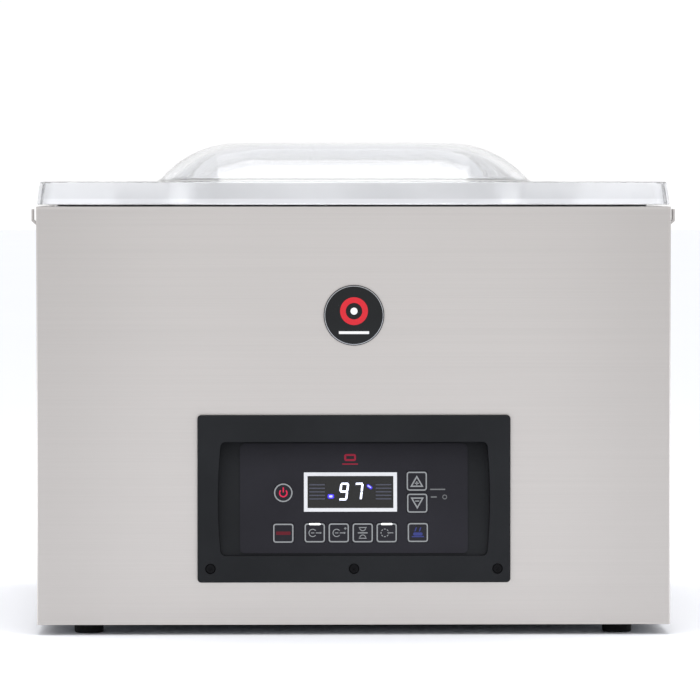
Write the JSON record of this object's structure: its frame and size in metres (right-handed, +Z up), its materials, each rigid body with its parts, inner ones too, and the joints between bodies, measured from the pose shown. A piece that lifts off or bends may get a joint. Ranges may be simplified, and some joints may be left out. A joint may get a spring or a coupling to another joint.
{
  "type": "vacuum chamber sealer",
  "caption": "Tabletop vacuum chamber sealer: stainless casing, clear domed lid on a rear hinge, recessed key panel, seal bar, gas struts and vane pump inside.",
  "frame": {"origin": "on the floor, under the middle of the machine's box", "axes": "+X to the right seen from the front, +Y from the front towards the back, +Z up"},
  "size_m": [0.492, 0.529, 0.3765],
  "materials": {
    "casing_steel": "fine satin, warm light grey",
    "deck_steel": "satin",
    "chamber_steel": "polished inside",
    "zinc_sheet": "zinc plated",
    "screw_steel": "turned",
    "hinge_steel": "satin",
    "shaft_steel": "ground",
    "polished_rod": "polished",
    "silver_trim": "satin silver",
    "screw_black": "black oxide",
    "strut_black": "gloss black",
    "motor_paint": "grey enamel",
    "cast_grey": "cast",
    "core_iron": "laminated",
    "anodised_aluminium": "anodised",
    "can_aluminium": "drawn",
    "nickel_brass": "machined",
    "badge_black": "domed gloss",
    "smoked_window": "smoked gloss",
    "rocker_plastic": "gloss black",
    "bezel_black": "fine moulded grain",
    "membrane": "satin membrane",
    "module_plastic": "matt",
    "socket_plastic": "matt black",
    "cap_plastic": "matt",
    "circuit_board": "solder mask",
    "filler_white": "polyethylene",
    "ptfe_tape": "coated glass cloth",
    "clear_acrylic": "clear, polished",
    "sight_glass": "clear",
    "foot_rubber": "matt black",
    "gasket_rubber": "soft black",
    "hose_rubber": "matt black",
    "silicone": "soft"
  },
  "bodies": {
    "casing": {"badge": "badge_black", "base_plate": "zinc_sheet", "bezel_screws": "screw_black", "casing_screws": "screw_steel", "chamber_suction_fitting": "nickel_brass", "control_bezel": "bezel_black", "control_board": "circuit_board", "deck": "deck_steel", "display_frame": "silver_trim", "display_module": "module_plastic", "display_window": "smoked_window", "fan_cowl": "motor_paint", "filler_plates": "filler_white", "gas_struts": "strut_black", "hinge_blocks": "hinge_steel", "hinge_pins": "polished_rod", "hose_clamps": "screw_steel", "inlet_pins": "nickel_brass", "keypad_backplate": "bezel_black", "keypad_overlay": "membrane", "lid_gasket": "gasket_rubber", "oil_filler_cap": "cap_plastic", "oil_sight_glass": "sight_glass", "oil_tank": "cast_grey", "outer_casing": "casing_steel", "power_inlet": "socket_plastic", "pump_body": "cast_grey", "pump_motor": "motor_paint", "pump_mounts": "foot_rubber", "rear_cover": "casing_steel", "rocker_housing": "socket_plastic", "rubber_feet": "foot_rubber", "seal_lift_barrels": "anodised_aluminium", "seal_transformer": "core_iron", "start_capacitor": "can_aluminium", "vacuum_chamber": "chamber_steel", "vacuum_hose": "hose_rubber", "valve_block": "nickel_brass"},
    "lid": {"lid": "clear_acrylic", "lid_crown": "clear_acrylic", "counter_bar_holder": "anodised_aluminium", "counter_bar_silicone": "silicone", "lid_hinge_brackets": "hinge_steel", "lid_bracket_bolts": "screw_steel"},
    "seal_bar": {"seal_bar": "anodised_aluminium", "seal_tape": "ptfe_tape", "seal_pistons": "polished_rod"},
    "strut_rod_left": {"strut_rod_left": "polished_rod"},
    "strut_rod_right": {"strut_rod_right": "polished_rod"},
    "rocker": {"rocker_switch": "rocker_plastic"},
    "pump_rotor": {"pump_rotor": "shaft_steel"},
    "key_power": {"key_power": "membrane"},
    "key_stop": {"key_stop": "membrane"},
    "key_vacuum": {"key_vacuum": "membrane"},
    "key_vacuum_plus": {"key_vacuum_plus": "membrane"},
    "key_seal": {"key_seal": "membrane"},
    "key_air_in": {"key_air_in": "membrane"},
    "key_special": {"key_special": "membrane"},
    "key_up": {"key_up": "membrane"},
    "key_down": {"key_down": "membrane"}
  },
  "joints": [
    {"name": "lid_hinge", "type": "hinge", "parent": "casing", "child": "lid", "pos_m": [0, 0.232, 0.332], "axis": [-1, 0, 0], "range_deg": [0, 55]},
    {"name": "strut_left_slide", "type": "slide", "parent": "casing", "child": "strut_rod_left", "axis": [0, 0, 1], "range_m": [0, 0.0223]},
    {"name": "strut_right_slide", "type": "slide", "parent": "casing", "child": "strut_rod_right", "axis": [0, 0, 1], "range_m": [0, 0.0223]},
    {"name": "seal_bar_lift", "type": "slide", "parent": "casing", "child": "seal_bar", "axis": [0, 0, 1], "range_m": [0, 0.008]},
    {"name": "rocker_tilt", "type": "hinge", "parent": "casing", "child": "rocker", "pos_m": [-0.17, 0.2575, 0.105], "axis": [1, 0, 0], "range_deg": [0, 20]},
    {"name": "pump_spin", "type": "hinge", "parent": "casing", "child": "pump_rotor", "pos_m": [0, 0.085, 0.098], "axis": [1, 0, 0], "continuous": true},
    {"name": "key_power_press", "type": "slide", "parent": "casing", "child": "key_power", "axis": [0, 0.9943, -0.1063], "range_m": [0, 0.0005], "stiffness_N_per_m": 2000},
    {"name": "key_stop_press", "type": "slide", "parent": "casing", "child": "key_stop", "axis": [0, 0.9943, -0.1063], "range_m": [0, 0.0005], "stiffness_N_per_m": 2000},
    {"name": "key_vacuum_press", "type": "slide", "parent": "casing", "child": "key_vacuum", "axis": [0, 0.9943, -0.1063], "range_m": [0, 0.0005], "stiffness_N_per_m": 2000},
    {"name": "key_vacuum_plus_press", "type": "slide", "parent": "casing", "child": "key_vacuum_plus", "axis": [0, 0.9943, -0.1063], "range_m": [0, 0.0005], "stiffness_N_per_m": 2000},
    {"name": "key_seal_press", "type": "slide", "parent": "casing", "child": "key_seal", "axis": [0, 0.9943, -0.1063], "range_m": [0, 0.0005], "stiffness_N_per_m": 2000},
    {"name": "key_air_in_press", "type": "slide", "parent": "casing", "child": "key_air_in", "axis": [0, 0.9943, -0.1063], "range_m": [0, 0.0005], "stiffness_N_per_m": 2000},
    {"name": "key_special_press", "type": "slide", "parent": "casing", "child": "key_special", "axis": [0, 0.9943, -0.1063], "range_m": [0, 0.0005], "stiffness_N_per_m": 2000},
    {"name": "key_up_press", "type": "slide", "parent": "casing", "child": "key_up", "axis": [0, 0.9943, -0.1063], "range_m": [0, 0.0005], "stiffness_N_per_m": 2000},
    {"name": "key_down_press", "type": "slide", "parent": "casing", "child": "key_down", "axis": [0, 0.9943, -0.1063], "range_m": [0, 0.0005], "stiffness_N_per_m": 2000}
  ],
  "couplings": [
    {"joint": "strut_left_slide", "follows": "lid_hinge", "m_per_rad": 0.023102},
    {"joint": "strut_right_slide", "follows": "lid_hinge", "m_per_rad": 0.023102}
  ]
}
